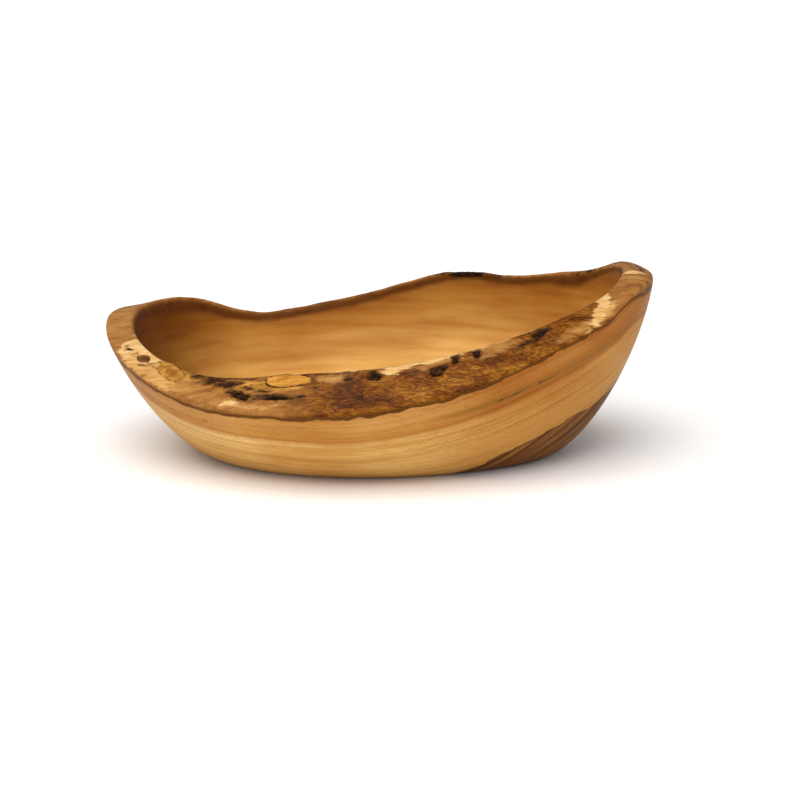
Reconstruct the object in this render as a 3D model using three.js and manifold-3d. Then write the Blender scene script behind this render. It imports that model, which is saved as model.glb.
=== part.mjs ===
// A natural-edge bowl for a ball of yarn, carved in one piece from half a log of olive wood.
// The rim is the skin of the log, left as it grew, so it rises and falls with the log. Three
// branch knots and eight lumps of old bark are grown into that skin and are separate bodies.
// Millimetres, +Z up, +X towards the pointed end, origin in the middle of the flat foot.
import * as THREE from "three";
import { ParametricGeometry } from "three/addons/geometries/ParametricGeometry.js";
import { mergeVertices } from "three/addons/utils/BufferGeometryUtils.js";
import Module from "manifold-3d";

const wasm = await Module();
wasm.setup();

// The bowl's plan: two egg-shaped ovals, the widest line of the outside and the flat foot.
const RIM_OVAL = { centre: -3.3, halfLength: 127.3, halfWidth: 85 };
const FOOT_OVAL = { centre: 2, halfLength: 75, halfWidth: 44.5 };
const EGG = 0.1; // how much narrower each oval is towards +X
const WALL_AT_ENDS = 14;
const WALL_AT_SIDES = 15.5;
const FLOOR = 12; // thickness of wood above the foot

// The log: its radius, how far its middle line lies behind the bowl's, and a level crest height.
const LOG_RADIUS = 115;
const LOG_OFFSET = 4;
const CREST = 82.5;

// How fast the walls curve in below the rim and turn into the foot or the floor.
const OUTSIDE_CURVE = { fall: 1.4, turn: 1.6 };
const INSIDE_CURVE = { fall: 1.8, turn: 3 };

// Heights along the crest of the log on its front and back flank: a step up from a base
// height towards +X, and swells that stand at one place and spread along X.
const FRONT_FLANK = { base: 68.5, step: 13.6, at: -62, spread: 32, swells: [] };
const BACK_FLANK = {
  base: 73.7,
  step: 8.8,
  at: -41,
  spread: 27,
  swells: [
    { height: 7.5, at: 32, spread: 26 },
    { height: 1.2, at: 47, spread: 9 },
    { height: 0.9, at: 2, spread: 14 },
    { height: 6.8, at: -90, spread: 21 },
  ],
};
const TIP_SWELL = { height: 3.8, at: 113, spread: 9 };
const FLANK_BLEND = 25; // how far each side of the middle one flank fades into the other

// Steps of the bowl's mesh: round it, and along its section from the foot to the floor.
const STEPS_ROUND = 96;
const SECTION = { foot: 1, outside: 12, rim: 4, inside: 14 };
const STEPS_ALONG = SECTION.foot + SECTION.outside + SECTION.rim + SECTION.inside;

// Grown-in bodies. turn is the place round the rim in degrees, from +X over the back, and
// across runs from 0 at the outer lip to 1 at the inner one.
const SEAT_GAP = 0.3;
const KNOTS = [
  { name: "dark_knot", turn: 206.8, across: 0.58, length: 8, width: 5.5, depth: 6, slant: 10 },
  { name: "ringed_knot", turn: 218.5, across: 0.68, length: 19, width: 8.6, depth: 7, slant: -6 },
  { name: "golden_knot", turn: 252.6, across: 0.68, length: 22, width: 7.5, depth: 6, slant: 3 },
];
const BARK_POCKETS = [
  { turn: 241.8, across: 0.42, length: 9.5, width: 4, slant: -6 },
  { turn: 251.2, across: 0.36, length: 12, width: 3, slant: 0 },
  { turn: 271.2, across: 0.74, length: 6.5, width: 4.4, slant: 2 },
  { turn: 284, across: 0.58, length: 8, width: 5, slant: 14 },
  { turn: 288.2, across: 0.78, length: 4, width: 3.6, slant: 30 },
  { turn: 293, across: 0.78, length: 3.2, width: 4.2, slant: 10 },
  { turn: 308.2, across: 0.7, length: 10, width: 4, slant: 6 },
  { turn: 66.5, across: 0.86, length: 21, width: 3.2, slant: 0 },
];
const BARK_DEPTH = 2.6;
const BARK_SUNK = 0.5; // how far the bark's top lies below the skin
const SKIN_ALLOWANCE = 2; // how far a knot's cutter stands out of the skin

const oliveWood = new THREE.MeshStandardMaterial({ color: 0xc08a50, roughness: 0.45, metalness: 0 });
const knotWood = new THREE.MeshStandardMaterial({ color: 0xb67c3c, roughness: 0.5, metalness: 0 });
const oldBark = new THREE.MeshStandardMaterial({ color: 0x2e1c10, roughness: 0.9, metalness: 0 });

const bump = (x, { height, at, spread }) => height * Math.exp(-(((x - at) / spread) ** 2));

// Height of the log's crest along one flank.
function flankHeight(x, flank) {
  const step = flank.step * Math.tanh((x - flank.at) / flank.spread);
  return flank.base + step + flank.swells.reduce((sum, swell) => sum + bump(x, swell), 0);
}

// How far the round log falls away from its crest.
function logFall(y) {
  return LOG_RADIUS - Math.sqrt(LOG_RADIUS ** 2 - (y - LOG_OFFSET) ** 2);
}

// Height of the log's natural skin over a point.
function skinHeight(x, y) {
  const back = 0.5 + 0.5 * Math.tanh(y / FLANK_BLEND);
  const crest = (1 - back) * flankHeight(x, FRONT_FLANK) + back * flankHeight(x, BACK_FLANK);
  return crest + bump(x, TIP_SWELL) - logFall(y);
}

// A point of an oval, drawn in by a wall thickness.
function ovalPoint(oval, angle, inEnds = 0, inSides = 0) {
  const x = oval.centre + (oval.halfLength - inEnds) * Math.cos(angle);
  const y = (oval.halfWidth - inSides) * Math.sin(angle) * (1 - EGG * Math.cos(angle));
  return new THREE.Vector2(x, y);
}

// How far a wall has opened out at a height, from 0 at its bottom to 1 at its top.
function opening(z, bottom, top, curve) {
  const below = THREE.MathUtils.clamp((top - z) / (top - bottom), 0, 1);
  return (1 - below ** curve.fall) ** (1 / curve.turn);
}

function outsidePoint(angle, z) {
  const top = ovalPoint(RIM_OVAL, angle);
  const foot = ovalPoint(FOOT_OVAL, angle);
  return foot.lerp(top, opening(z, 0, CREST - logFall(top.y), OUTSIDE_CURVE));
}

function insidePoint(angle, z) {
  const top = ovalPoint(RIM_OVAL, angle, WALL_AT_ENDS, WALL_AT_SIDES);
  const centre = new THREE.Vector2(RIM_OVAL.centre, 0);
  return centre.lerp(top, opening(z, FLOOR, CREST - logFall(top.y), INSIDE_CURVE));
}

// Where a wall meets the log's skin, found by closing in on the height.
function lipPoint(angle, wallPoint) {
  let z = CREST;
  for (let pass = 0; pass < 60; pass++) {
    const p = wallPoint(angle, z);
    z = (z + skinHeight(p.x, p.y)) / 2;
  }
  const p = wallPoint(angle, z);
  return new THREE.Vector3(p.x, p.y, z);
}

// A point of the natural rim, across from the outer lip to the inner one.
function rimPoint(angle, across) {
  const p = lipPoint(angle, outsidePoint).lerp(lipPoint(angle, insidePoint), across);
  return p.setZ(skinHeight(p.x, p.y));
}

// The bowl's section at one turn: foot, outside wall, natural rim, inside wall and floor.
function bowlPoint(u, v, target) {
  const angle = u * 2 * Math.PI;
  let at = v * STEPS_ALONG;
  if (at <= SECTION.foot) {
    const middle = new THREE.Vector2(FOOT_OVAL.centre, 0);
    const p = middle.lerp(ovalPoint(FOOT_OVAL, angle), at / SECTION.foot);
    return target.set(p.x, p.y, 0);
  }
  at -= SECTION.foot;
  if (at <= SECTION.outside) {
    const z = lipPoint(angle, outsidePoint).z * (at / SECTION.outside) ** OUTSIDE_CURVE.turn;
    const p = outsidePoint(angle, z);
    return target.set(p.x, p.y, z);
  }
  at -= SECTION.outside;
  if (at <= SECTION.rim) return target.copy(rimPoint(angle, at / SECTION.rim));
  at -= SECTION.rim;
  const left = (1 - Math.min(at / SECTION.inside, 1)) ** INSIDE_CURVE.turn;
  const z = FLOOR + (lipPoint(angle, insidePoint).z - FLOOR) * left;
  const p = insidePoint(angle, z);
  return target.set(p.x, p.y, z);
}

// A closed three.js geometry as a solid that can be cut and joined.
function solidOf(geometry) {
  const bare = geometry.clone().deleteAttribute("normal").deleteAttribute("uv");
  const merged = mergeVertices(bare, 1e-3);
  const triangles = [];
  for (let i = 0; i < merged.index.count; i += 3) {
    const [a, b, c] = [0, 1, 2].map((corner) => merged.index.getX(i + corner));
    if (a !== b && b !== c && c !== a) triangles.push(a, b, c);
  }
  const vertProperties = merged.attributes.position.array;
  const triVerts = new Uint32Array(triangles);
  return new wasm.Manifold(new wasm.Mesh({ numProp: 3, vertProperties, triVerts }));
}

function geometryOf(solid) {
  const { vertProperties, triVerts } = solid.getMesh();
  return new THREE.BufferGeometry()
    .setAttribute("position", new THREE.BufferAttribute(vertProperties, 3))
    .setIndex(new THREE.BufferAttribute(triVerts, 1));
}

// Puts a cutter made round its own origin into the rim: X along the rim, Z out of the skin.
function placeInRim(geometry, body, lift = 0) {
  const angle = THREE.MathUtils.degToRad(body.turn);
  const at = rimPoint(angle, body.across);
  const along = rimPoint(angle + 0.02, body.across).sub(at).normalize();
  const inward = rimPoint(angle, body.across + 0.05).sub(at);
  const out = new THREE.Vector3().crossVectors(along, inward).normalize();
  const up = new THREE.Vector3().crossVectors(out, along);
  const turned = new THREE.Matrix4().makeRotationZ(THREE.MathUtils.degToRad(body.slant));
  const placed = new THREE.Matrix4().makeBasis(along, up, out);
  placed.setPosition(at.addScaledVector(out, lift));
  return geometry.applyMatrix4(placed.multiply(turned));
}

// A tapered plug that runs into the wood, for a knot; grown by the seat's gap for its seat.
function knotCutter(knot, grown) {
  const radius = 1 + (2 * grown) / knot.width;
  const height = knot.depth + grown + SKIN_ALLOWANCE;
  const plug = new THREE.CylinderGeometry(radius, radius * 0.75, height, 20);
  plug.rotateX(Math.PI / 2).scale(knot.length / 2, knot.width / 2, 1);
  return solidOf(placeInRim(plug, knot, SKIN_ALLOWANCE - height / 2));
}

// A lens-shaped hollow in the skin, for a lump of bark.
function barkCutter(pocket, grown) {
  const lens = new THREE.SphereGeometry(1, 14, 8);
  lens.scale(pocket.length / 2 + grown, pocket.width / 2 + grown, BARK_DEPTH + grown);
  return solidOf(placeInRim(lens, pocket));
}

const blank = solidOf(new ParametricGeometry(bowlPoint, STEPS_ROUND, STEPS_ALONG));
const sunkBlank = blank.translate([0, 0, -BARK_SUNK]);

const bowl = new THREE.Group();
let carved = blank;

function addPiece(name, solid, material) {
  const mesh = new THREE.Mesh(geometryOf(solid), material);
  mesh.name = name;
  bowl.add(mesh);
}

KNOTS.forEach((knot) => {
  addPiece(knot.name, knotCutter(knot, 0).intersect(blank), knotWood);
  carved = carved.subtract(knotCutter(knot, SEAT_GAP));
});

BARK_POCKETS.forEach((pocket, index) => {
  addPiece(`bark_pocket_${index + 1}`, barkCutter(pocket, 0).intersect(sunkBlank), oldBark);
  carved = carved.subtract(barkCutter(pocket, SEAT_GAP));
});

addPiece("bowl", carved, oliveWood);

export default bowl;
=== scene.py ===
"""A natural-edge olive-wood yarn bowl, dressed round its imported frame.

The bowl is carved in one piece from half a log. Its rim is the skin of the log, with three branch
knots and eight lumps of old bark grown into it. Sizes are in millimetres until a mesh is written.
"""

import logging
import math
from dataclasses import dataclass
from enum import Enum
from typing import Callable

import bmesh
import bpy
import numpy as np
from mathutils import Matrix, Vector, noise


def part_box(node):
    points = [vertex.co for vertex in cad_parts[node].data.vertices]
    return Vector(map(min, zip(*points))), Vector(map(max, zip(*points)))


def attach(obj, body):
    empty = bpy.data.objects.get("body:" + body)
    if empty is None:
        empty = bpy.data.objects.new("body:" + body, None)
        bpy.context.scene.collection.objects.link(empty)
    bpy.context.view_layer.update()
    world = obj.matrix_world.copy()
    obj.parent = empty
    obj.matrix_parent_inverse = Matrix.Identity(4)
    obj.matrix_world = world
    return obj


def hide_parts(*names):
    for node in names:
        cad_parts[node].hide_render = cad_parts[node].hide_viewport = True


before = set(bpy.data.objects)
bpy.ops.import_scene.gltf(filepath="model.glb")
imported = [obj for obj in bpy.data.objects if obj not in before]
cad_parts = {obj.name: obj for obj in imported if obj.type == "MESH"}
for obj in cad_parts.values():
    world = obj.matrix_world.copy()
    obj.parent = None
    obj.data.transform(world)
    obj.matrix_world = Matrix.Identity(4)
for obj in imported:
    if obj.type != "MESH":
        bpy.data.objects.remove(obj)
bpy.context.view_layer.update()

LOG = logging.getLogger("yarn_bowl")
MM = 0.001
TURN = 2 * math.pi

Tree = bpy.types.NodeTree
Socket = bpy.types.NodeSocket
Outputs = bpy.types.bpy_prop_collection
Ramp = tuple[tuple[float, str], ...]

# A node's inputs are mostly given by number. A map range's are the value, the two ends of its range
# and the two ends of the result; a mix's 0, 6 and 7 are the share and the two colours.

# The setting of a map range that rises smoothly between its ends, not straight.
EASED = {"interpolation_type": "SMOOTHSTEP"}


def linear(hex_colour: str) -> tuple[float, float, float, float]:
    """Turn an sRGB hex colour into a linear one.

    Args:
        hex_colour: Six hex digits, with or without a leading hash.

    Returns:
        Linear red, green, blue and an alpha of 1.
    """
    digits = hex_colour.lstrip("#")
    shares = (int(digits[i : i + 2], 16) / 255 for i in (0, 2, 4))
    red, green, blue = (s / 12.92 if s <= 0.04045 else ((s + 0.055) / 1.055) ** 2.4 for s in shares)
    return red, green, blue, 1.0


def per(size: float) -> float:
    """Give the texture scale, in Object metres, at which one feature is this many millimetres."""
    return 1 / (size * MM)


def add(tree: Tree, kind: str, inputs: dict | None = None, **settings: object) -> Outputs:
    """Add a node, with its settings and links.

    Args:
        tree: The tree it goes in.
        kind: The node's type, without the ShaderNode that all of them start with.
        inputs: For each input, by name or number, the output to link or the value to set.
        settings: Properties of the node; stops is a colour ramp's list of places and colours.

    Returns:
        The node's outputs.
    """
    node = tree.nodes.new(f"ShaderNode{kind}")
    stops = settings.pop("stops", None)
    for name, value in settings.items():
        setattr(node, name, value)
    if stops:
        elements = node.color_ramp.elements
        while len(elements) < len(stops):
            elements.new(0.5)
        for element, (at, colour) in zip(elements, stops):
            element.position = at
            element.color = linear(colour)
    for name, source in (inputs or {}).items():
        if isinstance(source, bpy.types.NodeSocket):
            tree.links.new(source, node.inputs[name])
        else:
            node.inputs[name].default_value = source
    return node.outputs


def smoothstep(low: float, high: float, value: np.ndarray) -> np.ndarray:
    """Rise smoothly from 0 at low to 1 at high."""
    share = np.clip((value - low) / (high - low), 0, 1)
    return share * share * (3 - 2 * share)


def lumps(points: np.ndarray, size: float, seed: float) -> np.ndarray:
    """Give smooth noise between about -1 and 1 at each point.

    Args:
        points: Places in millimetres, one to a row.
        size: How many millimetres one lump spans.
        seed: Shifts the noise, so that two uses of one size differ.

    Returns:
        One value for each point.
    """
    shifted = points / size + seed
    return np.array([noise.noise(Vector(p)) for p in shifted.tolist()])


@dataclass(frozen=True)
class Swell:
    """A stretch of the log where its skin stands higher.

    Attributes:
        height: The most that it rises.
        at: Where along X.
        spread: How far it reaches along X.
    """

    height: float
    at: float
    spread: float

    def rise(self, x: np.ndarray) -> np.ndarray:
        """Give how far the skin is raised at x."""
        return self.height * np.exp(-(((x - self.at) / self.spread) ** 2))


@dataclass(frozen=True)
class Flank:
    """The crest of the log along one side: a step up towards +X, and swells.

    Attributes:
        base: The height half way up the step.
        step: Half of the step's height.
        at: Where the step is along X.
        spread: How far the step is drawn out along X.
        swells: Where the skin stands higher.
    """

    base: float
    step: float
    at: float
    spread: float
    swells: tuple[Swell, ...] = ()

    def crest(self, x: np.ndarray) -> np.ndarray:
        """Give the height of the log's crest at x."""
        height = self.base + self.step * np.tanh((x - self.at) / self.spread)
        return height + sum(swell.rise(x) for swell in self.swells)


@dataclass(frozen=True)
class LogSkin:
    """The natural skin of the log that the bowl is carved from.

    Attributes:
        radius: The log's radius.
        offset: How far the log's middle line lies behind the bowl's.
        blend: How far each side of the middle one flank fades into the other.
        front: The crest on the low side.
        back: The crest on the high side.
        tip: The swell at the pointed end.
        lump: How high its broad lumps stand, and how many millimetres one spans.
        knurl: The same for its small ones.
        lump_depth: How fast the growth rings lose the lumps under the skin.
    """

    radius: float = 115
    offset: float = 4
    blend: float = 25
    front: Flank = Flank(68.5, 13.6, -62, 32)
    back: Flank = Flank(
        73.7, 8.8, -41, 27, (Swell(7.5, 32, 26), Swell(1.2, 47, 9), Swell(0.9, 2, 14), Swell(6.8, -90, 21))
    )
    tip: Swell = Swell(3.8, 113, 9)
    lump: tuple[float, float] = (0.5, 13)
    knurl: tuple[float, float] = (0.14, 4.5)
    lump_depth: float = 7

    def crest(self, x: np.ndarray, y: np.ndarray) -> np.ndarray:
        """Give the height of the crest that the log has over a place in plan."""
        back = 0.5 + 0.5 * np.tanh(y / self.blend)
        return (1 - back) * self.front.crest(x) + back * self.back.crest(x) + self.tip.rise(x)

    def fall(self, y: np.ndarray) -> np.ndarray:
        """Give how far the round log falls away from its crest."""
        return self.radius - np.sqrt(np.maximum(self.radius**2 - (y - self.offset) ** 2, 0))

    def lumpiness(self, x: np.ndarray, y: np.ndarray) -> np.ndarray:
        """Give how far the lumps raise the skin over a place in plan; the ends are smoother.

        Args:
            x: Places along the bowl.
            y: Places across the bowl.

        Returns:
            The lumps' heights.
        """
        plan = np.stack([x, y, np.zeros_like(x)], -1).reshape(-1, 3)
        rough = 0.25 + 0.75 * smoothstep(-105, -60, x) * (1 - smoothstep(80, 112, x))
        total = sum(high * lumps(plan, size, size) for high, size in (self.lump, self.knurl))
        return rough * total.reshape(x.shape)

    def height(self, x: np.ndarray, y: np.ndarray) -> np.ndarray:
        """Give the height of the skin over a place in plan."""
        return self.crest(x, y) - self.fall(y) + self.lumpiness(x, y)

    def normal(self, points: np.ndarray, step: float = 0.5) -> np.ndarray:
        """Give the direction out of the log at points, without its lumps.

        Args:
            points: Points, with x, y and z along the last axis.
            step: How far apart the slopes are measured.

        Returns:
            Directions of length 1.
        """
        x, y = points[..., 0], points[..., 1]
        slope_x = (self.crest(x + step, y) - self.crest(x - step, y)) / (2 * step)
        fall = self.fall(y + step) - self.fall(y - step)
        slope_y = (self.crest(x, y + step) - self.crest(x, y - step) - fall) / (2 * step)
        out = np.stack([-slope_x, -slope_y, np.ones_like(x)], -1)
        return out / np.linalg.norm(out, axis=-1, keepdims=True)

    def depth(self, points: np.ndarray) -> np.ndarray:
        """Give how deep points lie below the skin: growth rings lie at one depth.

        Args:
            points: Points, with x, y and z along the last axis.

        Returns:
            Their depths.
        """
        x, y, z = np.moveaxis(points, -1, 0)
        deep = self.radius - np.hypot(y - self.offset, z - self.crest(x, y) + self.radius)
        return deep + self.lumpiness(x, y) * np.exp(-np.maximum(deep, 0) / self.lump_depth)


@dataclass(frozen=True)
class Oval:
    """An egg-shaped oval in plan, narrower towards +X.

    Attributes:
        centre: Where its middle is along X.
        half_length: Half its length, along X.
        half_width: Half its width, along Y.
        egg: How much narrower it is at the narrow end: 0 for an even oval.
    """

    centre: float
    half_length: float
    half_width: float
    egg: float = 0.1

    def point(self, angle: np.ndarray) -> np.ndarray:
        """Give the points at some angles.

        Args:
            angle: Angles round the oval.

        Returns:
            x and y along the last axis.
        """
        x = self.centre + self.half_length * np.cos(angle)
        y = self.half_width * np.sin(angle) * (1 - self.egg * np.cos(angle))
        return np.stack(np.broadcast_arrays(x, y), -1)


@dataclass(frozen=True)
class Wall:
    """One face of the bowl's wall, which opens out from a small oval to a large one.

    Attributes:
        top: The oval that it reaches level with the crest.
        bottom: The oval that it starts from.
        start: The height that it starts from.
        fall: How fast it curves in below the rim.
        turn: How fast it turns into the foot or the floor.
    """

    top: Oval
    bottom: Oval
    start: float
    fall: float
    turn: float

    def point(self, skin: LogSkin, angle: np.ndarray, z: np.ndarray, crest: float) -> np.ndarray:
        """Give the points of the wall at some angles and heights.

        Args:
            skin: The log's skin.
            angle: Angles round the bowl.
            z: Heights.
            crest: The level that the wall's curve is drawn to.

        Returns:
            x and y along the last axis.
        """
        top = self.top.point(angle)
        full = crest - skin.fall(top[..., 1])
        below = np.clip((full - z) / (full - self.start), 0, 1)
        opened = ((1 - below**self.fall) ** (1 / self.turn))[..., None]
        return self.bottom.point(angle) * (1 - opened) + top * opened


@dataclass(frozen=True)
class Carving:
    """The shape of the whole bowl, as carved.

    Attributes:
        skin: The log's natural skin, which is the rim.
        outside: The outer face of the wall.
        inside: The inner face of the wall.
        crest: The level that both faces are drawn to.
    """

    skin: LogSkin = LogSkin()
    outside: Wall = Wall(Oval(-3.3, 127.3, 85), Oval(2, 75, 44.5), 0, 1.4, 1.6)
    inside: Wall = Wall(Oval(-3.3, 113.3, 69.5), Oval(-3.3, 0, 0), 12, 1.8, 3.0)
    crest: float = 82.5

    def lip(self, wall: Wall, angle: np.ndarray, passes: int = 24) -> np.ndarray:
        """Find where a wall meets the skin, by closing in on the height.

        Args:
            wall: The outer or the inner face.
            angle: Angles round the bowl.
            passes: How many times the height moves half way to the skin's.

        Returns:
            Points, with x, y and z along the last axis.
        """
        z = np.full_like(angle, self.crest)
        for _ in range(passes):
            x, y = np.moveaxis(wall.point(self.skin, angle, z, self.crest), -1, 0)
            z = (z + self.skin.height(x, y)) / 2
        return np.concatenate([wall.point(self.skin, angle, z, self.crest), z[..., None]], -1)


class Unrolled:
    """The rim laid out flat: how far round it, and how far across it, in millimetres.

    Attributes:
        carving: The bowl's shape.
        angle: The angles that both lips are found at.
        outer: The outer lip there.
        inner: The inner lip there.
        length: How far round the rim's middle line each angle is.
    """

    def __init__(self, carving: Carving, steps: int = 1440) -> None:
        """Find both lips all round.

        Args:
            carving: The bowl's shape.
            steps: How many angles they are found at.
        """
        self.carving = carving
        self.angle = np.linspace(0, TURN, steps + 1)
        self.outer = carving.lip(carving.outside, self.angle)
        self.inner = carving.lip(carving.inside, self.angle)
        chords = np.linalg.norm(np.diff((self.outer + self.inner) / 2, axis=0), axis=1)
        self.length = np.concatenate([[0], np.cumsum(chords)])

    def lips(self, angle: np.ndarray) -> tuple[np.ndarray, np.ndarray]:
        """Give the outer and the inner lip at some angles.

        Args:
            angle: Angles round the bowl.

        Returns:
            Points of the outer lip, and of the inner one.
        """
        outer, inner = (
            np.stack([np.interp(angle, self.angle, lip[:, axis]) for axis in range(3)], -1)
            for lip in (self.outer, self.inner)
        )
        return outer, inner

    def width(self, angle: np.ndarray) -> np.ndarray:
        """Give how wide the rim is at some angles."""
        outer, inner = self.lips(angle)
        return np.linalg.norm(inner - outer, axis=-1)

    def point(self, angle: np.ndarray, across: np.ndarray) -> np.ndarray:
        """Give points of the natural rim.

        Args:
            angle: Angles round the bowl.
            across: 0 at the outer lip and 1 at the inner one.

        Returns:
            Points, with x, y and z along the last axis.
        """
        outer, inner = self.lips(angle)
        points = outer + (inner - outer) * across[..., None]
        points[..., 2] = self.carving.skin.height(points[..., 0], points[..., 1])
        return points

    def offset(self, mark: "Mark", along: np.ndarray, over: np.ndarray) -> tuple[np.ndarray, np.ndarray]:
        """Give where places lie from a mark's middle, along its length and its width.

        Args:
            mark: The mark.
            along: How far round the rim the places are.
            over: How far over from its outer lip they are.

        Returns:
            The two distances, in millimetres.
        """
        here, whole = math.radians(mark.turn), self.length[-1]
        u = (along - np.interp(here, self.angle, self.length) + whole / 2) % whole - whole / 2
        v = over - mark.across * self.width(np.array([here]))[0]
        cos, sin = math.cos(math.radians(mark.slant)), math.sin(math.radians(mark.slant))
        return u * cos + v * sin, v * cos - u * sin


@dataclass(frozen=True)
class Mark:
    """An oval place on the rim.

    Attributes:
        turn: Where round the rim, in degrees from +X over the back.
        across: 0 at the outer lip and 1 at the inner one.
        length: Its size along the rim.
        width: Its size across the rim.
        slant: How far it is turned out of the rim's line, in degrees, inward with the turn.
    """

    turn: float
    across: float
    length: float
    width: float
    slant: float = 0

    def distance(self, along: np.ndarray, over: np.ndarray, rim: Unrolled) -> np.ndarray:
        """Give how far places are outside the oval, in millimetres, negative inside it.

        Args:
            along: How far round the rim the places are.
            over: How far over from its outer lip they are.
            rim: The rim laid out flat.

        Returns:
            One distance for each place.
        """
        u, v = rim.offset(self, along, over)
        return (np.hypot(u / self.length, v / self.width) * 2 - 1) * min(self.length, self.width) / 2


# Where the skin is worn through to the pale wood under it.
PALE_MARKS = (
    Mark(204, 0.86, 28, 6.5, -4),
    Mark(215, 0.97, 28, 3.0, 0),
    Mark(198.5, 0.6, 11, 9, 0),
    Mark(200, 0.32, 10, 5, -10),
    Mark(240.5, 0.2, 8, 1.8, 0),
    Mark(181.5, 0.62, 4, 1.2, 20),
    Mark(266, 0.98, 24, 1.8, 0),
    Mark(275, 0.87, 17, 4.2, 3),
    Mark(284, 0.94, 16, 2.8, 0),
    Mark(296, 0.99, 22, 1.6, 0),
    Mark(331.5, 0.8, 16, 6, 32),
    Mark(325, 0.42, 20, 4.6, 26),
    Mark(352, 0.63, 13, 4.4, -53),
    Mark(28, 0.5, 26, 4, 12),
    Mark(96, 0.45, 30, 3.4, -8),
    Mark(140, 0.6, 22, 5, 10),
)

# Where it is stained dark, round the bark and along old cracks.
DARK_MARKS = (
    Mark(198.8, 0.5, 4.5, 2.4, 0),
    Mark(208.6, 0.36, 5, 0.8, 40),
    Mark(231, 0.86, 22, 3.4, 3),
    Mark(237, 0.74, 20, 3.2, 9),
    Mark(240, 0.93, 30, 2.4, 0),
    Mark(250, 0.99, 48, 1.3, 0),
    Mark(241.2, 0.44, 13, 3.6, -16),
    Mark(245.6, 0.58, 12, 1.6, -10),
    Mark(251.5, 0.38, 18, 1.8, 0),
    Mark(258.8, 0.66, 2.2, 7, 20),
    Mark(265.6, 0.78, 4, 3, 0),
    Mark(265.6, 0.58, 3.6, 2.6, 0),
    Mark(279.4, 0.72, 3.4, 2.4, 0),
    Mark(308, 0.7, 12, 4, 6),
    Mark(304, 0.62, 12, 1.6, 6),
    Mark(66, 0.98, 40, 8, 0),
    Mark(14, 0.78, 24, 2.6, 6),
    Mark(2, 0.4, 14, 2.2, 8),
    Mark(22, 0.9, 24, 2.6, 8),
    Mark(120, 0.4, 14, 3, 10),
    Mark(48, 0.3, 10, 2.6, 0),
)

# Where the pale wood is duller and more like honey.
HONEY_MARKS = (
    Mark(207, 0.3, 34, 8.5, -2),
    Mark(217, 0.28, 28, 7.5, 0),
    Mark(242, 0.19, 22, 3, 0),
    Mark(326, 0.3, 20, 4, 12),
    Mark(300, 0.94, 24, 2.4, 0),
)

# Where it is golden, as round the knots.
GOLD_MARKS = (
    Mark(247, 0.68, 36, 6, 0),
    Mark(238, 0.6, 12, 2.6, 8),
    Mark(222, 0.8, 14, 7, 0),
    Mark(150, 0.4, 20, 6, 0),
)

# Where it is a lighter, pinkish tan.
TAN_MARKS = (
    Mark(236, 0.2, 42, 6, 0),
    Mark(226, 0.5, 12, 8, 0),
    Mark(262, 0.8, 12, 4, 0),
    Mark(284, 0.86, 20, 4.5, 0),
    Mark(298, 0.78, 16, 5, 0),
    Mark(318, 0.24, 22, 5, 0),
    Mark(345, 0.4, 12, 8, 0),
    Mark(184, 0.5, 46, 14, 0),
    Mark(82, 0.5, 30, 7, 0),
)


def in_rim(node: str, rim: Unrolled) -> tuple[float, float]:
    """Find where on the rim a grown-in body of the frame lies.

    Args:
        node: The body's node.
        rim: The rim laid out flat.

    Returns:
        Its turn in degrees and its place across the rim.
    """
    low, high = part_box(node)
    centre = np.array((low + high) / 2)[:2] / MM
    across = np.linspace(0, 1, 101)
    places = rim.outer[:, None, :2] + (rim.inner - rim.outer)[:, None, :2] * across[None, :, None]
    best = np.unravel_index(np.argmin(((places - centre) ** 2).sum(-1)), places.shape[:2])
    return math.degrees(rim.angle[best[0]]), float(across[best[1]])


def on_rim(rim: Unrolled, along: np.ndarray, over: np.ndarray, out: np.ndarray) -> np.ndarray:
    """Give points on or near the skin from their place on the rim laid out flat.

    Args:
        rim: The rim laid out flat.
        along: How far round the rim they are.
        over: How far over from its outer lip.
        out: How far out of the skin.

    Returns:
        Points, with x, y and z along the last axis.
    """
    turn = np.interp(along % rim.length[-1], rim.length, rim.angle)
    points = rim.point(turn, over / rim.width(turn))
    return points + rim.carving.skin.normal(points) * out[..., None]


def places_of(mesh: bpy.types.Mesh) -> np.ndarray:
    """Give the place of each vertex, one to a row.

    Args:
        mesh: The mesh.

    Returns:
        The places.
    """
    places = np.empty(len(mesh.vertices) * 3)
    mesh.vertices.foreach_get("co", places)
    return places.reshape(-1, 3)


def move_vertices(mesh: bpy.types.Mesh, where: Callable[[np.ndarray], np.ndarray]) -> None:
    """Move each vertex to the place that a formula gives for where it is now.

    Args:
        mesh: The mesh.
        where: Takes all vertices' places and returns their new ones, in millimetres.
    """
    moved = where(places_of(mesh)) * MM
    mesh.vertices.foreach_set("co", moved.ravel())
    mesh.update()


def keep_values(mesh: bpy.types.Mesh, name: str, values: np.ndarray) -> None:
    """Store one number or three for each vertex, for the finish to read."""
    kind, field = ("FLOAT", "value") if values.ndim == 1 else ("FLOAT_VECTOR", "vector")
    mesh.attributes.new(name, kind, "POINT").data.foreach_set(field, values.astype(np.float32).ravel())


def weld(mesh: bpy.types.Mesh, distance: float = 0.002) -> None:
    """Join vertices that lie together, and shade the mesh smooth.

    Args:
        mesh: The mesh.
        distance: How close together, in millimetres.
    """
    shape = bmesh.new()
    shape.from_mesh(mesh)
    bmesh.ops.remove_doubles(shape, verts=shape.verts, dist=distance * MM)
    for face in shape.faces:
        face.smooth = True
    shape.to_mesh(mesh)
    shape.free()


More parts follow.
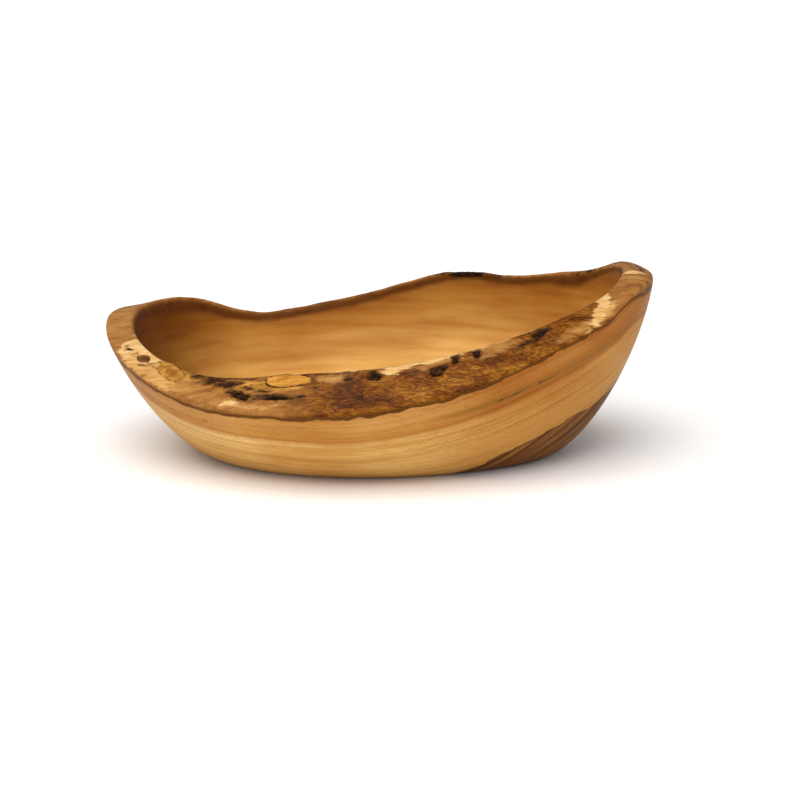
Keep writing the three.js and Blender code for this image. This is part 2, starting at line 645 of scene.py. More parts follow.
def show(mesh: bpy.types.Mesh, finish: bpy.types.Material, slot: str, *nodes: str) -> bpy.types.Object:
    """Put a finished piece in the scene in place of CAD nodes.

    Args:
        mesh: Its mesh, whose name is the piece's.
        finish: Its material.
        slot: The record's material slot; not used.
        nodes: The CAD nodes that it stands for.

    Returns:
        The piece.
    """
    piece = bpy.data.objects.new(mesh.name, mesh)
    bpy.context.scene.collection.objects.link(piece)
    mesh.materials.append(finish)
    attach(piece, "root")
    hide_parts(*nodes)
    LOG.info("%s: %d faces", piece.name, len(mesh.polygons))
    return piece


@dataclass(frozen=True)
class Seat:
    """Where a grown-in body sits in the rim.

    Attributes:
        mark: Its outline on the rim.
        sunk: How deep the bowl is hollowed under it.
        ragged: How much its outline wavers, as a share of its size.
        seed: Makes its outline its own.
        stained: How far round it the wood is stained dark.
    """

    mark: Mark
    sunk: float
    ragged: float
    seed: float
    stained: float = 0

    def outline(self, around: np.ndarray) -> np.ndarray:
        """Give how far out the ragged outline runs at some angles round it, about 1."""
        ring = np.stack([np.cos(around), np.sin(around), np.full_like(around, self.seed)], -1)
        return 1 + self.ragged * (lumps(ring, 0.9, self.seed) + 0.5 * lumps(ring, 0.35, self.seed))

    def share(self, along: np.ndarray, over: np.ndarray, rim: Unrolled) -> np.ndarray:
        """Give 0 at the middle of the body and 1 on its outline, for places on the rim.

        Args:
            along: How far round the rim the places are.
            over: How far over from its outer lip they are.
            rim: The rim laid out flat.

        Returns:
            The share for each place.
        """
        u, v = rim.offset(self.mark, along, over)
        x, y = u / (self.mark.length / 2), v / (self.mark.width / 2)
        near = np.hypot(x, y) < 2
        edge = np.ones_like(x)
        edge[near] = self.outline(np.arctan2(y[near], x[near]))
        return np.hypot(x, y) / edge


@dataclass
class BowlBody:
    """The carved wooden body: foot, wall, floor and natural rim.

    Attributes:
        rim: The rim laid out flat, with the shape it belongs to.
        seats: Where other bodies sit in the rim.
        around: Steps round the bowl.
        foot: Steps across the foot.
        wall: Steps up the outside, below the lip.
        lip: Steps over the part of each wall that lies next to its lip.
        lip_height: How high that part is.
        across: Steps across the rim.
        hollow: Steps down the inside and over the floor.
        round_lip: Steps each side of a lip that are rounded over.
        rounding: How many times they are smoothed.
        seat_edge: From which to which share of its body a seat comes up to the rim.
    """

    rim: Unrolled
    seats: tuple[Seat, ...]
    around: int = 960
    foot: int = 4
    wall: int = 24
    lip: int = 6
    lip_height: float = 5
    across: int = 28
    hollow: int = 32
    round_lip: int = 4
    rounding: int = 6
    seat_edge: tuple[float, float] = (0.55, 1.12)

    def rows(self) -> int:
        """Count the steps along the section, from the foot's middle to the floor's."""
        return self.foot + self.wall + 2 * self.lip + self.across + self.hollow

    def section(self) -> np.ndarray:
        """Work out the bare shape, without its seats and with sharp lips.

        Returns:
            Points, by row along the section and angle round the bowl.
        """
        carving = self.rim.carving
        angle = np.linspace(0, TURN, self.around + 1)
        outer, inner = self.rim.lips(angle)

        def on_wall(wall: Wall, z: np.ndarray) -> np.ndarray:
            """Give one row of a wall at some heights."""
            return np.concatenate([wall.point(carving.skin, angle, z, carving.crest), z[:, None]], 1)

        middle, edge = np.array([carving.outside.bottom.centre, 0]), carving.outside.bottom.point(angle)
        flat = np.zeros((len(angle), 1))
        rows = [np.hstack([middle + (edge - middle) * s, flat]) for s in steps(self.foot)]
        low = outer[:, 2] - self.lip_height
        rows += [on_wall(carving.outside, low * s**carving.outside.turn) for s in steps(self.wall)]
        rows += [on_wall(carving.outside, low + self.lip_height * s) for s in steps(self.lip)]
        rows += [self.rim.point(angle, np.full_like(angle, s)) for s in steps(self.across)]
        rows += [on_wall(carving.inside, inner[:, 2] - self.lip_height * s) for s in steps(self.lip)]
        floor = carving.inside.start
        top = inner[:, 2] - self.lip_height - floor
        rows += [on_wall(carving.inside, floor + top * (1 - s) ** 3) for s in steps(self.hollow)]
        rows.append(on_wall(carving.inside, np.full_like(angle, floor)))
        return np.array(rows)

    def unrolled_places(self, table: np.ndarray) -> tuple[np.ndarray, np.ndarray]:
        """Give how far round the rim, and how far over from its outer lip, each point lies.

        Args:
            table: The bowl's points.

        Returns:
            How far round, and how far over.
        """
        along = np.interp(np.linspace(0, TURN, self.around + 1), self.rim.angle, self.rim.length)
        chords = np.linalg.norm(np.diff(table, axis=0, prepend=table[:1]), axis=-1)
        over = np.cumsum(chords, axis=0)
        return np.broadcast_to(along, over.shape), over - over[self.foot + self.wall + self.lip]

    def hollow_seats(self, table: np.ndarray, along: np.ndarray, over: np.ndarray) -> None:
        """Press the seats of the grown-in bodies into the rim.

        Args:
            table: The bowl's points, which it moves.
            along: How far round the rim each point is.
            over: How far over from the outer lip it is.
        """
        inward = -self.rim.carving.skin.normal(table)
        for seat in self.seats:
            share = seat.share(along, over, self.rim)
            table += inward * (seat.sunk * (1 - smoothstep(*self.seat_edge, share)))[..., None]

    def round_lips(self, table: np.ndarray) -> None:
        """Round both lips over, by smoothing the section next to them.

        Args:
            table: The bowl's points, which it moves.
        """
        outer = self.foot + self.wall + self.lip
        for lip in (outer, outer + self.across):
            for _ in range(self.rounding):
                near = slice(lip - self.round_lip, lip + self.round_lip + 1)
                before = table[lip - self.round_lip - 1 : lip + self.round_lip]
                after = table[lip - self.round_lip + 1 : lip + self.round_lip + 2]
                table[near] += 0.5 * ((before + after) / 2 - table[near])

    def build(self, finish: bpy.types.Material) -> bpy.types.Object:
        """Make the body.

        Args:
            finish: The wood's material.

        Returns:
            The piece.
        """
        table = self.section()
        along, over = self.unrolled_places(table)
        depth = self.rim.carving.skin.depth(table)
        self.hollow_seats(table, along, over)
        self.round_lips(table)

        shape = bmesh.new()
        bmesh.ops.create_grid(shape, x_segments=self.around, y_segments=self.rows(), size=0.5)
        mesh = bpy.data.meshes.new("carved_bowl")
        shape.to_mesh(mesh)
        shape.free()
        share = places_of(mesh) + 0.5
        pick = (
            np.rint(share[:, 1] * self.rows()).astype(int), np.rint(share[:, 0] * self.around).astype(int)
        )
        move_vertices(mesh, lambda _: table[pick])

        keep_values(mesh, "growth", self.growth(table, depth, along, over)[pick])
        keep_values(mesh, "marks", self.marks(table, along, over)[pick])
        keep_values(mesh, "tones", self.tones(along, over)[pick])
        weld(mesh)
        return show(mesh, finish, "olive_wood", "bowl")

    def growth(self, table: np.ndarray, depth: np.ndarray, along: np.ndarray, over: np.ndarray) -> np.ndarray:
        """Give, for each point, its depth, its depth in skins, and its distance out of honey places.

        Args:
            table: The bowl's points.
            depth: Their depths under the log's skin.
            along: How far round the rim each point is.
            over: How far over from the outer lip it is.

        Returns:
            The three values, along the last axis.
        """
        # The skin wood is thicker at the blunt end, behind, and at both tips.
        x, y = table[..., 0], table[..., 1]
        behind = smoothstep(0, 45, y)
        skin = 3.2 - 0.8 * smoothstep(-85, -50, x) - 0.4 * smoothstep(-30, 10, x)
        skin += behind * (3 - 1.6 * smoothstep(-110, -60, x))
        skin += 3 * (1 - smoothstep(-122, -106, x)) + 2.5 * smoothstep(106, 122, x)
        skin += 3 * behind * np.exp(-(((x - 92) / 9) ** 2))
        return np.stack([depth, depth / skin, self.nearest(HONEY_MARKS, along, over)], -1)

    def nearest(self, marks: tuple[Mark, ...], along: np.ndarray, over: np.ndarray) -> np.ndarray:
        """Give how far each point is outside the nearest of some marks."""
        return np.minimum(np.min([mark.distance(along, over, self.rim) for mark in marks], axis=0), 30)

    def marks(self, table: np.ndarray, along: np.ndarray, over: np.ndarray) -> np.ndarray:
        """Give each point's distance out of the pale and the dark places, and how burled it is.

        Args:
            table: The bowl's points.
            along: How far round the rim each point is.
            over: How far over from the outer lip it is.

        Returns:
            The three values, along the last axis.
        """
        # The burl lies along the front of the rim, and more faintly behind.
        x, y = table[..., 0], table[..., 1]
        front = smoothstep(-48, -22, x) * (1 - smoothstep(88, 106, x)) * (1 - smoothstep(-20, 10, y))
        rear = 0.7 * smoothstep(-70, -50, x) * (1 - smoothstep(-10, 20, x)) * smoothstep(20, 40, y)
        pale, dark = self.nearest(PALE_MARKS, along, over), self.nearest(DARK_MARKS, along, over)
        for seat in self.seats:
            if seat.stained:
                out_of = (seat.share(along, over, self.rim) - 1) * seat.mark.width / 2
                dark = np.minimum(dark, out_of - seat.stained)
        return np.stack([pale, dark, front + rear], -1)

    def tones(self, along: np.ndarray, over: np.ndarray) -> np.ndarray:
        """Give each point's distance out of the golden and the tan places, and if it is inside.

        Args:
            along: How far round the rim each point is.
            over: How far over from the outer lip it is.

        Returns:
            The three values, along the last axis.
        """
        gold, tan = self.nearest(GOLD_MARKS, along, over), self.nearest(TAN_MARKS, along, over)
        width = over[self.foot + self.wall + self.lip + self.across]
        return np.stack([gold, tan, smoothstep(0, 4, over - width)], -1)


def steps(count: int) -> list[float]:
    """Give shares from 0 up to but not including 1, in equal steps."""
    return [i / count for i in range(count)]


@dataclass(frozen=True)
class GrownIn:
    """A body grown into the rim: a knot, or a lump of bark.

    Attributes:
        node: Its node, which is also where it is.
        seat: Its outline and the hollow it sits in.
        rim: The rim laid out flat.
        proud: How far its middle stands out of the skin.
        rolled: How far its edge drops below its middle.
        rough: How lumpy its top is.
        around: Steps round it.
        rings: Steps from its top to its underside.
    """

    node: str
    seat: Seat
    rim: Unrolled
    proud: float
    rolled: float
    rough: float
    around: int = 96
    rings: int = 48

    def build(self, finish: bpy.types.Material, slot: str) -> bpy.types.Object:
        """Make the body.

        Args:
            finish: Its material.
            slot: The record's material slot.

        Returns:
            The piece.
        """
        shape = bmesh.new()
        bmesh.ops.create_uvsphere(shape, u_segments=self.around, v_segments=self.rings, radius=1)
        mesh = bpy.data.meshes.new(f"{self.node}_grown")
        shape.to_mesh(mesh)
        shape.free()
        for face in mesh.polygons:
            face.use_smooth = True
        ball = places_of(mesh)
        move_vertices(mesh, self.place)
        keep_values(mesh, "ring", np.hypot(ball[:, 0], ball[:, 1]))
        return show(mesh, finish, slot, self.node)

    def place(self, ball: np.ndarray) -> np.ndarray:
        """Turn a ball into the body, set in the skin.

        Args:
            ball: Points of a ball of radius 1.

        Returns:
            The body's points.
        """
        mark = self.seat.mark
        around = np.arctan2(ball[:, 1], ball[:, 0])
        edge = self.seat.outline(around)
        a, b = ball[:, 0] * edge * mark.length / 2, ball[:, 1] * edge * mark.width / 2
        cos, sin = math.cos(math.radians(mark.slant)), math.sin(math.radians(mark.slant))
        here = math.radians(mark.turn)
        along = np.interp(here, self.rim.angle, self.rim.length) + a * cos - b * sin
        over = mark.across * self.rim.width(np.array([here]))[0] + a * sin + b * cos
        share = np.hypot(ball[:, 0], ball[:, 1])
        flat = np.stack([a, b, np.full_like(a, self.seat.seed)], -1)
        bumps = self.rough * (lumps(flat, 2.2, 3.1) + 0.5 * lumps(flat, 0.9, 5.7)) * (1 - share**4)
        top = self.proud - self.rolled * share**5 + bumps
        below = -self.seat.sunk - 1.2
        out = np.where(ball[:, 2] > 0, top, below + (top - below) * share**6)
        return on_rim(self.rim, along, over, out)


def new_tree(name: str) -> tuple[bpy.types.Material, Tree]:
    """Make an empty node material and give it with its tree.

    Args:
        name: The material's name.

    Returns:
        The material and its node tree.
    """
    material = bpy.data.materials.new(name)
    material.use_nodes = True
    material.node_tree.nodes.clear()
    return material, material.node_tree


class Laid(Enum):
    """How one colour is laid on another: over it, or into it, as the stains and the painted shade are. Each
    is a node's settings.
    """

    OVER = {"data_type": "RGBA", "blend_type": "MIX"}
    STAIN_AND_SHADE = {"data_type": "RGBA", "blend_type": "MULTIPLY"}


@dataclass(frozen=True)
class Grain:
    """A figure in the wood, from 0 to 1, whose features have a real size.

    Attributes:
        sizes: How long, wide and high one feature is, in millimetres.
        detail: How many finer layers it has.
        roughness: How strong the finer layers are.
        distortion: How much it curls.
    """

    sizes: tuple[float, float, float]
    detail: float = 3
    roughness: float = 0.5
    distortion: float = 0

    def drawn(self, tree: Tree, place: Socket) -> Socket:
        """Draw it at places given in millimetres.

        Args:
            tree: The tree it goes in.
            place: The places.

        Returns:
            The figure, from 0 to 1.
        """
        scale = tuple(1 / size for size in self.sizes)
        place = add(tree, "Mapping", {0: place, "Scale": scale})[0]
        inputs = {
            0: place, "Scale": 1, "Detail": self.detail, "Roughness": self.roughness,
            "Distortion": self.distortion,
        }
        return add(tree, "TexNoise", inputs)[0]


def in_millimetres(tree: Tree) -> Socket:
    """Give the place on the piece, in millimetres."""
    place = add(tree, "TexCoord")["Object"]
    return add(tree, "VectorMath", {0: place, "Scale": 1 / MM}, operation="SCALE")[0]


@dataclass(frozen=True)
class Surface:
    """How a finish takes the light.

    Attributes:
        ior: Its index of refraction.
        gloss: How much of the usual gloss it has.
        relief: How deep its relief looks, in millimetres.
        strength: How much the light shows the relief.
    """

    ior: float
    gloss: float
    relief: float
    strength: float

    def close(self, tree: Tree, colour: Socket, roughness: Socket | float, height: Socket) -> None:
        """Put the shader at the end of a finish.

        Args:
            tree: The tree it goes in.
            colour: The finish's colour.
            roughness: Its roughness.
            height: Its relief, from 0 to 1.
        """
        relief = {"Strength": self.strength, "Distance": self.relief * MM, "Height": height}
        inputs = {
            "Base Color": colour, "Roughness": roughness, "Normal": add(tree, "Bump", relief)[0],
            "IOR": self.ior, "Specular IOR Level": self.gloss,
        }
        add(tree, "OutputMaterial", {0: add(tree, "BsdfPrincipled", inputs)[0]})


OILED = Surface(ior=1.4, gloss=0.1, relief=0.15, strength=0.3)
DRY = Surface(ior=1.3, gloss=0.15, relief=0.4, strength=0.6)


@dataclass(frozen=True)
class Spot:
    """What the bowl's finish knows of a place on the bowl; all of it is sockets.

    Attributes:
        place: The place, in millimetres.
        x: Its place along the bowl.
        y: Its place across the bowl.
        depth: How deep it lies under the log's skin.
        skins: The same, with the thickness of the skin wood as 1.
        honey: How far it is outside the honey places of the rim.
        pale: How far it is outside the pale ones.
        dark: How far it is outside the dark ones.
        burl: How burled it is, from 0 to 1.
        gold: How far it is outside the golden places.
        tan: How far it is outside the tan ones.
        inside: 1 on the inside of the bowl and 0 elsewhere.
    """

    place: Socket
    x: Socket
    y: Socket
    depth: Socket
    skins: Socket
    honey: Socket
    pale: Socket
    dark: Socket
    burl: Socket
    gold: Socket
    tan: Socket
    inside: Socket

    @classmethod
    def read(cls, tree: Tree) -> "Spot":
        """Read it from the mesh.

        Args:
            tree: The tree it goes in.

        Returns:
            The spot.
        """
        place = in_millimetres(tree)
        values = []
        for name in ("growth", "marks", "tones"):
            three = add(tree, "Attribute", attribute_name=name)["Vector"]
            values += list(add(tree, "SeparateXYZ", {0: three}))
        xyz = add(tree, "SeparateXYZ", {0: place})
        return cls(place, xyz["X"], xyz["Y"], *values)


@dataclass(frozen=True)
class OliveWood:
    """Olive wood, carved across the grain, sanded and oiled.

    Pale honey sapwood whose growth rings follow the log's skin, a brown streak of heartwood, and
    on the rim the brown skin wood, worn through to cream in places and burled in others.

    Attributes:
        log_depth: The depth that the ring colours are laid out over.
        rings: Ring colours, at depths in millimetres.
        hollow: Colours of the softer, darker wood inside the bowl, at depths too; its darkest, just under the
            rim, are partly painted shade.
        heart: The heartwood's streaks, from dark to light, as are the ramps that follow.
        plain: The skin wood of the rim.
        honey: Its duller pale places.
        tan: Its lighter brown places.
        gold: Its golden places, as round the knots.
        pale: Where it is worn through to the pale wood.
        dark: Where it is stained dark.
        burled: The lines of the burl, from between them to their crests.
        burl_shade: Soft shades that stain the burl.
        fibres: The fine fibres, drawn out along the log.
        ring_pitch: How wide one faint year ring is.
        swirl: How many millimetres a slow wave in the rings spans.
        burl: How long, wide and high one eye of the burl is.
        burl_lines: How many fine lines ring it.
    """

    log_depth: float = 84
    rings: Ramp = (
        (0, "b47f40"), (2, "c38f51"), (5, "cb9a59"), (8, "c99857"), (9.5, "c7944b"), (12.6, "c5904a"),
        (14, "bd8644"), (16.4, "e3bd7d"), (18.8, "e8c282"), (20, "d5ae6b"), (21.4, "e3be7b"), (26, "dfb976"),
        (27.2, "cba25d"), (28.8, "dcb574"), (36, "d7af6b"), (44, "d4ac68"), (60, "cca15e"), (84, "bf924e"),
    )
    # The inside's colours by depth; the darkest, just under the rim, are partly painted shade.
    hollow: Ramp = (
        (0, "84541e"), (7, "a06b2a"), (14, "b17c36"), (25, "b5803b"), (34, "d3a057"), (44, "deae66"),
        (60, "e6bd7a"),
    )
    heart: Ramp = ((0.34, "43250a"), (0.48, "693f14"), (0.58, "7f511d"), (0.7, "9c6a29"))
    plain: Ramp = ((0.32, "71431a"), (0.46, "8a5827"), (0.6, "9c6a33"), (0.72, "ad7b41"))
    honey: Ramp = ((0.3, "9f6c34"), (0.44, "ba8a4e"), (0.58, "c8995b"), (0.72, "d4aa70"))
    tan: Ramp = ((0.3, "825224"), (0.5, "9b6b34"), (0.7, "b18246"))
    gold: Ramp = ((0.32, "80501a"), (0.5, "a8742e"), (0.68, "c6954a"))
    pale: Ramp = ((0.3, "ab7d44"), (0.42, "c99b5e"), (0.56, "d3ab70"), (0.7, "e0c089"))
    dark: Ramp = ((0.34, "170b03"), (0.5, "331b07"), (0.66, "6a3f14"))
    burled: Ramp = ((0, "563105"), (0.3, "77450a"), (0.7, "844f0f"), (0.88, "905e1b"), (1, "9e6e29"))
    burl_shade: Ramp = ((0.34, "94743a"), (0.48, "d8c290"), (0.62, "ffffff"))
    fibres: Grain = Grain((16, 0.8, 0.8))
    ring_pitch: float = 2.2
    swirl: float = 24
    burl: tuple[float, float, float] = (8.5, 3.4, 2.6)
    burl_lines: float = 12

    def make(self) -> bpy.types.Material:
        """Build the material.

        Returns:
            The material.
        """
        # Oiled olive wood: honey-coloured wood with soft rings, under a brown and burled rim.
        wood, tree = new_tree("oiled_olive_wood")
        spot = Spot.read(tree)
        depth = self.waved_depth(tree, spot)
        body = self.sapwood(tree, spot, depth)
        body = self.year_line(tree, spot, depth, body)
        body = self.heartwood(tree, spot, depth, body)
        skin, relief = self.skin_wood(tree, spot)
        colour = self.join_skin(tree, spot, body, skin)

        dull = Grain((20, 20, 20), 2).drawn(tree, spot.place)
        roughness = add(tree, "MapRange", {0: dull, 1: 0.3, 2: 0.7, 3: 0.42, 4: 0.56})[0]
        on_rim = add(tree, "MapRange", {0: spot.depth, 1: 1, 2: 0}, **EASED)[0]
        fibres = self.fibres.drawn(tree, spot.place)
        height = add(tree, "Math", {0: relief, 1: on_rim, 2: fibres}, operation="MULTIPLY_ADD")[0]
        OILED.close(tree, colour, roughness, height)
        return wood

    def waved_depth(self, tree: Tree, spot: Spot) -> Socket:
        """Let the rings' depth wander slowly, the more the deeper they lie.

        Args:
            tree: The tree it goes in.
            spot: The place on the bowl.

        Returns:
            The waved depth.
        """
        wave = Grain((self.swirl * 1.6, self.swirl, self.swirl), 2).drawn(tree, spot.place)
        wave = add(tree, "Math", {0: wave, 1: 0.5}, operation="SUBTRACT")[0]
        reach = add(tree, "MapRange", {0: spot.depth, 1: 0, 2: 40, 3: 0.6, 4: 7})[0]
        return add(tree, "Math", {0: wave, 1: reach, 2: spot.depth}, operation="MULTIPLY_ADD")[0]

    def sapwood(self, tree: Tree, spot: Spot, depth: Socket) -> Socket:
        """Colour the wood under the skin: by depth, by place, and by its figures, with painted shade towards
        its ends and under the rim.

        Args:
            tree: The tree it goes in.
            spot: The place on the bowl.
            depth: Its waved depth.

        Returns:
            The colour.
        """
        share = add(tree, "Math", {0: depth, 1: self.log_depth}, operation="DIVIDE")[0]
        outer, inner = (
            add(tree, "ValToRGB", {0: share}, stops=[(at / self.log_depth, tone) for at, tone in ramp])[0]
            for ramp in (self.rings, self.hollow)
        )
        share = add(tree, "Math", {0: spot.inside, 1: 0.88}, operation="MULTIPLY")[0]
        wood = add(tree, "Mix", {0: share, 6: outer, 7: inner}, **Laid.OVER.value)[2]

        # Painted shade, darker towards the ends. Inside the blunt end it darkens where the wall faces away
        # from the light, and is partly a real darker tone too. Outside, it darkens the pointed half, the side
        # turned from the light, and the blunt end near the skin, where the light falls strongest.
        outside = add(tree, "Math", {0: 1, 1: spot.inside}, operation="SUBTRACT")[0]
        shallow = add(tree, "MapRange", {0: depth, 1: 27, 2: 17}, **EASED)[0]
        shallow = add(tree, "Math", {0: shallow, 1: outside}, operation="MULTIPLY")[0]
        for begins, full, where, stain_and_shade_tint in (
            (-58, -104, spot.inside, "ac965e"), (5, 62, outside, "e6d0b0"), (-48, -84, shallow, "ece6e6")
        ):
            share = add(tree, "MapRange", {0: spot.x, 1: begins, 2: full}, **EASED)[0]
            share = add(tree, "Math", {0: share, 1: where}, operation="MULTIPLY")[0]
            wood = add(tree, "Mix", {0: share, 6: wood, 7: linear(stain_and_shade_tint)}, **Laid.STAIN_AND_SHADE.value)[2]

        # Clouds all over, smears inside, and year rings and fibres mostly outside.
        along_rings = add(tree, "CombineXYZ", {0: spot.x, 1: spot.y, 2: depth})[0]
        clouds, smears = Grain((60, 40, 26), 2), Grain((50, 50, 4.4), 3)
        years = Grain((90, 90, self.ring_pitch), roughness=0.6)
        for grain, place, (none, full, most), ramp in (
            (clouds, spot.place, (-1, 0, 1), ((0.36, "eadbc2"), (0.62, "ffffff"))),
            (years, along_rings, (1.2, 0, 0.8), ((0.3, "d5c09c"), (0.48, "f4eddc"), (0.66, "ffffff"))),
            (smears, spot.place, (0, 1, 0.65), ((0.34, "dcbd8c"), (0.5, "f2e6cc"), (0.66, "ffffff"))),
            (self.fibres, spot.place, (1.6, 0, 0.45), ((0.32, "d8c5a4"), (0.52, "faf6ee"), (0.72, "ffffff"))),
        ):
            tone = add(tree, "ValToRGB", {0: grain.drawn(tree, place)}, stops=ramp)[0]
            share = add(tree, "MapRange", {0: spot.inside, 1: none, 2: full, 4: most}, **EASED)[0]
            wood = add(tree, "Mix", {0: share, 6: wood, 7: tone}, **Laid.STAIN_AND_SHADE.value)[2]
        return wood

    def window(self, tree: Tree, value: Socket, middle: Socket | float, full: float, gone: float) -> Socket:
        """Give 1 where a value is near a middle one, fading to 0 away from it.

        Args:
            tree: The tree it goes in.
            value: The value.
            middle: The middle one.
            full: How far away it is still 1.
            gone: How far away it is 0.

        Returns:
            Values from 0 to 1.
        """
        away = add(tree, "Math", {0: value, 1: middle}, operation="SUBTRACT")[0]
        away = add(tree, "Math", {0: away}, operation="ABSOLUTE")[0]
        return add(tree, "MapRange", {0: away, 1: gone, 2: full}, **EASED)[0]

    def year_line(self, tree: Tree, spot: Spot, depth: Socket, body: Socket) -> Socket:
        """Draw the thin brown line along one year ring in front, and its dark dashes.

        Args:
            tree: The tree it goes in.
            spot: The place on the bowl.
            depth: Its waved depth.
            body: The colour it is drawn on.

        Returns:
            The colour with the line.
        """
        front = add(tree, "MapRange", {0: spot.y, 1: 10, 2: -10}, **EASED)[0]
        line = add(tree, "MapRange", {0: spot.x, 1: 20, 2: 115, 3: 9.4, 4: 12.6})[0]
        along_line = add(tree, "CombineXYZ", {0: spot.x, 1: depth})[0]
        broken = Grain((3.4, 0.7, 1), 2).drawn(tree, along_line)
        for reach, (middle, full, gone), (low, high), tone in (
            (2.4, (70, 30, 56), (-0.6, 0.9), "8f5f25"), (0.5, (78, 26, 44), (0.36, 0.62), "7a4d1b"),
            (0.8, (62, 11, 14), (0.5, 0.56), "452709"), (0.6, (-78, 5, 8), (0.5, 0.57), "6b3f14"),
        ):
            share = front
            for part in (
                self.window(tree, depth, line, 0.1, reach), self.window(tree, spot.x, middle, full, gone),
                add(tree, "MapRange", {0: broken, 1: low, 2: high}, **EASED)[0],
            ):
                share = add(tree, "Math", {0: share, 1: part}, operation="MULTIPLY")[0]
            body = add(tree, "Mix", {0: share, 6: body, 7: linear(tone)}, **Laid.OVER.value)[2]
        return body

    def heartwood(self, tree: Tree, spot: Spot, depth: Socket, body: Socket) -> Socket:
        """Lay the brown heartwood into the deep wood of the pointed end, with its slanted streaks.

        Args:
            tree: The tree it goes in.
            spot: The place on the bowl.
            depth: Its waved depth.
            body: The colour it is laid on.

        Returns:
            The colour with the heartwood.
        """
        ragged = Grain((9, 9, 9)).drawn(tree, spot.place)
        ragged = add(tree, "MapRange", {0: ragged, 3: -2.4, 4: 2.4})[0]
        hump = self.window(tree, spot.x, 84, 0, 46)
        edge = add(tree, "Math", {0: depth, 1: ragged}, operation="ADD")[0]
        edge = add(tree, "Math", {0: hump, 1: 4.5, 2: edge}, operation="MULTIPLY_ADD")[0]
        begins = add(tree, "Math", {0: ragged, 1: edge}, operation="ADD")[0]
        begins = add(tree, "Math", {0: spot.x, 1: 0.35, 2: begins}, operation="MULTIPLY_ADD")[0]
        deep = add(tree, "MapRange", {0: edge, 1: 47.4, 2: 48.4}, **EASED)[0]
        pointed = add(tree, "MapRange", {0: begins, 1: 65.5, 2: 66.5}, **EASED)[0]
        share = add(tree, "Math", {0: deep, 1: pointed}, operation="MULTIPLY")[0]

        lean = add(tree, "Math", {0: spot.x, 1: 0.5, 2: depth}, operation="MULTIPLY_ADD")[0]
        leaning = add(tree, "CombineXYZ", {0: spot.x, 2: lean})[0]
        streaks = Grain((34, 1, 2.6)).drawn(tree, leaning)
        streaks = add(tree, "ValToRGB", {0: streaks}, stops=self.heart)[0]
        border = self.window(tree, edge, 48.2, 0.1, 0.9)
        border = add(tree, "Math", {0: border, 1: 0.6}, operation="MULTIPLY")[0]
        streaks = add(tree, "Mix", {0: border, 6: streaks, 7: linear("4a2c0e")}, **Laid.OVER.value)[2]
        return add(tree, "Mix", {0: share, 6: body, 7: streaks}, **Laid.OVER.value)[2]

    def skin_wood(self, tree: Tree, spot: Spot) -> tuple[Socket, Socket]:
        """Colour the skin wood of the rim, and give the height of its figure.

        Args:
            tree: The tree it goes in.
            spot: The place on the bowl.

        Returns:
            The colour, and the figure's height from 0 to 1.
        """
        mottle = Grain((13, 3.4, 3.4), 5, roughness=0.6, distortion=0.5).drawn(tree, spot.place)
        plain = add(tree, "ValToRGB", {0: mottle}, stops=self.plain)[0]

        hills = Grain(self.burl, 2, distortion=0.45).drawn(tree, spot.place)
        lines = add(tree, "Math", {0: hills, 1: self.burl_lines}, operation="MULTIPLY")[0]
        lines = add(tree, "Math", {0: lines, 1: 1}, operation="PINGPONG")[0]
        figure = add(tree, "ValToRGB", {0: lines}, stops=self.burled)[0]
        shade = Grain((18, 7, 7)).drawn(tree, spot.place)
        shade = add(tree, "ValToRGB", {0: shade}, stops=self.burl_shade)[0]
        figure = add(tree, "Mix", {0: 0.9, 6: figure, 7: shade}, **Laid.STAIN_AND_SHADE.value)[2]
        outside = add(tree, "Math", {0: 1, 1: spot.inside}, operation="SUBTRACT")[0]
        burled = add(tree, "Math", {0: spot.burl, 1: outside}, operation="MULTIPLY")[0]
        skin = add(tree, "Mix", {0: burled, 6: plain, 7: figure}, **Laid.OVER.value)[2]

        # Each worn or stained place has torn edges: how torn, and how wide its edge fades.
        torn = Grain((9, 2.6, 2.6), 5, roughness=0.6, distortion=0.6).drawn(tree, spot.place)
        torn = add(tree, "MapRange", {0: torn, 1: 0.3, 2: 0.7, 3: -2, 4: 2})[0]
        for out_of, sway, fade, ramp in (
            (spot.honey, 0.9, 1.0, self.honey), (spot.tan, 1.0, 1.6, self.tan),
            (spot.gold, 0.8, 0.9, self.gold), (spot.pale, 0.75, 0.5, self.pale),
            (spot.dark, 0.7, 0.9, self.dark),
        ):
            edge = add(tree, "Math", {0: torn, 1: sway, 2: out_of}, operation="MULTIPLY_ADD")[0]
            share = add(tree, "MapRange", {0: edge, 1: fade, 2: -fade}, **EASED)[0]
            tone = add(tree, "ValToRGB", {0: mottle}, stops=ramp)[0]
            skin = add(tree, "Mix", {0: share, 6: skin, 7: tone}, **Laid.OVER.value)[2]
        skin = add(tree, "Mix", {0: spot.inside, 6: skin, 7: linear("a07c54")}, **Laid.STAIN_AND_SHADE.value)[2]
        return skin, add(tree, "Math", {0: lines, 1: burled}, operation="MULTIPLY")[0]

